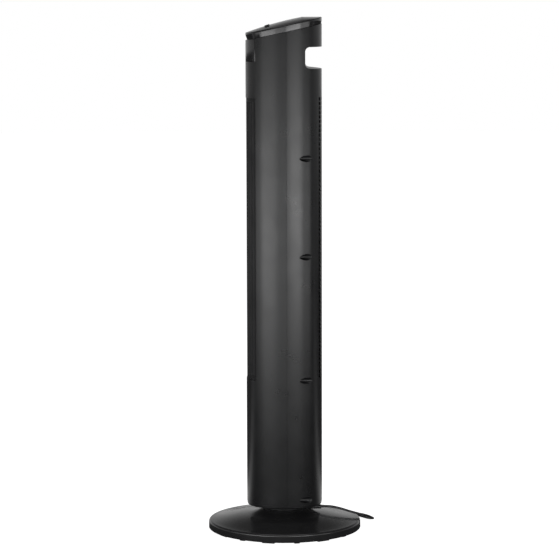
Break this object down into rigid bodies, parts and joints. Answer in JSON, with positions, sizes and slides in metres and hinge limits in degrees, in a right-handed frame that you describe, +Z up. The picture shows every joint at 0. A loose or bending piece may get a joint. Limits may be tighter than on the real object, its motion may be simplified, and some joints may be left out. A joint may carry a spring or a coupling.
{
  "type": "tower fan",
  "caption": "Slim oscillating tower fan: oval two-shell column with slanted button lid, slatted front outlet, rear hand grip and slots, on a round weighted base with a mains cord.",
  "frame": {"origin": "on the floor under the middle of the round base", "axes": "+Z up; the front (air outlet) faces -Y; the rear (intake, hand grip, cord) faces +Y; +X is to the right of someone who looks along +Y at the front"},
  "size_m": [0.4653, 0.329, 1.008],
  "materials": {
    "satin_black": "satin moulded ABS",
    "gloss_black": "polished moulded ABS",
    "button_black": "satin",
    "dark_plastic": "moulded, unpolished",
    "grey_plastic": "glass-filled nylon",
    "pale_plastic": "acetal",
    "steel": "zinc plated",
    "laminated_iron": "laminated sheet",
    "cast_weight": "rough cast",
    "copper": "enamelled wire",
    "circuit_board": "solder mask",
    "soft_rubber": "matt",
    "cord_rubber": "soft vinyl",
    "brass": "plain"
  },
  "bodies": {
    "base": {"base_cover": "gloss_black", "base_plate": "dark_plastic", "base_weight": "cast_weight", "foot_ring": "soft_rubber", "swivel_washer": "pale_plastic", "swivel_retainer": "dark_plastic", "hub_screw_1": "steel", "hub_screw_2": "steel", "hub_screw_3": "steel", "cord_strain_relief": "cord_rubber", "cord_lead": "cord_rubber", "cord_coil": "cord_rubber", "plug_body": "cord_rubber", "plug_blade_left": "brass", "plug_blade_right": "brass"},
    "column": {"bottom_plate": "satin_black", "front_shell": "satin_black", "rear_shell": "satin_black", "front_grille": "satin_black", "display_panel": "gloss_black", "lid": "satin_black", "case_screw_left_1": "steel", "case_screw_left_2": "steel", "case_screw_left_3": "steel", "case_screw_left_4": "steel", "case_screw_right_1": "steel", "case_screw_right_2": "steel", "case_screw_right_3": "steel", "case_screw_right_4": "steel", "button_board": "circuit_board", "display_board": "circuit_board", "power_board": "circuit_board", "motor_capacitor": "pale_plastic", "duct_floor": "dark_plastic", "duct_ceiling": "dark_plastic", "scroll_wall": "dark_plastic", "vortex_wall": "dark_plastic", "upper_bearing": "soft_rubber", "motor_cradle": "grey_plastic", "motor_stator": "laminated_iron", "motor_winding_lower": "copper", "motor_winding_upper": "copper", "motor_cap_lower": "steel", "motor_cap_upper": "steel", "swing_motor_bracket": "steel", "swing_motor": "steel"},
    "crank": {"swing_crank": "pale_plastic"},
    "wheel": {"blower_wheel": "grey_plastic", "wheel_pin": "steel", "motor_shaft": "steel", "motor_rotor": "laminated_iron"},
    "power_button": {"button_power": "button_black"},
    "speed_button": {"button_speed": "button_black"},
    "swing_button": {"button_swing": "button_black"},
    "timer_button": {"button_timer": "button_black"},
    "mode_button": {"button_mode": "button_black"}
  },
  "joints": [
    {"name": "column_swing", "type": "hinge", "parent": "base", "child": "column", "pos_m": [0, 0, 0.051], "axis": [0, 0, 1], "range_deg": [-35, 35]},
    {"name": "crank_turn", "type": "hinge", "parent": "column", "child": "crank", "pos_m": [0, -0.024, 0.0632], "axis": [0, 0, 1], "range_deg": [-90.5, 90.5]},
    {"name": "wheel_spin", "type": "hinge", "parent": "column", "child": "wheel", "pos_m": [0, 0.002, 0.306], "axis": [0, 0, 1], "continuous": true},
    {"name": "power_press", "type": "slide", "parent": "column", "child": "power_button", "axis": [0, 0.2843, -0.9587], "range_m": [0, 0.0009], "stiffness_N_per_m": 400, "springref_m": -0.001},
    {"name": "speed_press", "type": "slide", "parent": "column", "child": "speed_button", "axis": [0, 0.2843, -0.9587], "range_m": [0, 0.0009], "stiffness_N_per_m": 400, "springref_m": -0.001},
    {"name": "swing_press", "type": "slide", "parent": "column", "child": "swing_button", "axis": [0, 0.2843, -0.9587], "range_m": [0, 0.0009], "stiffness_N_per_m": 400, "springref_m": -0.001},
    {"name": "timer_press", "type": "slide", "parent": "column", "child": "timer_button", "axis": [0, 0.2843, -0.9587], "range_m": [0, 0.0009], "stiffness_N_per_m": 400, "springref_m": -0.001},
    {"name": "mode_press", "type": "slide", "parent": "column", "child": "mode_button", "axis": [0, 0.2843, -0.9587], "range_m": [0, 0.0009], "stiffness_N_per_m": 400, "springref_m": -0.001}
  ],
  "couplings": [
    {"joint": "crank_turn", "follows": "column_swing", "ratio": -2.5714}
  ]
}
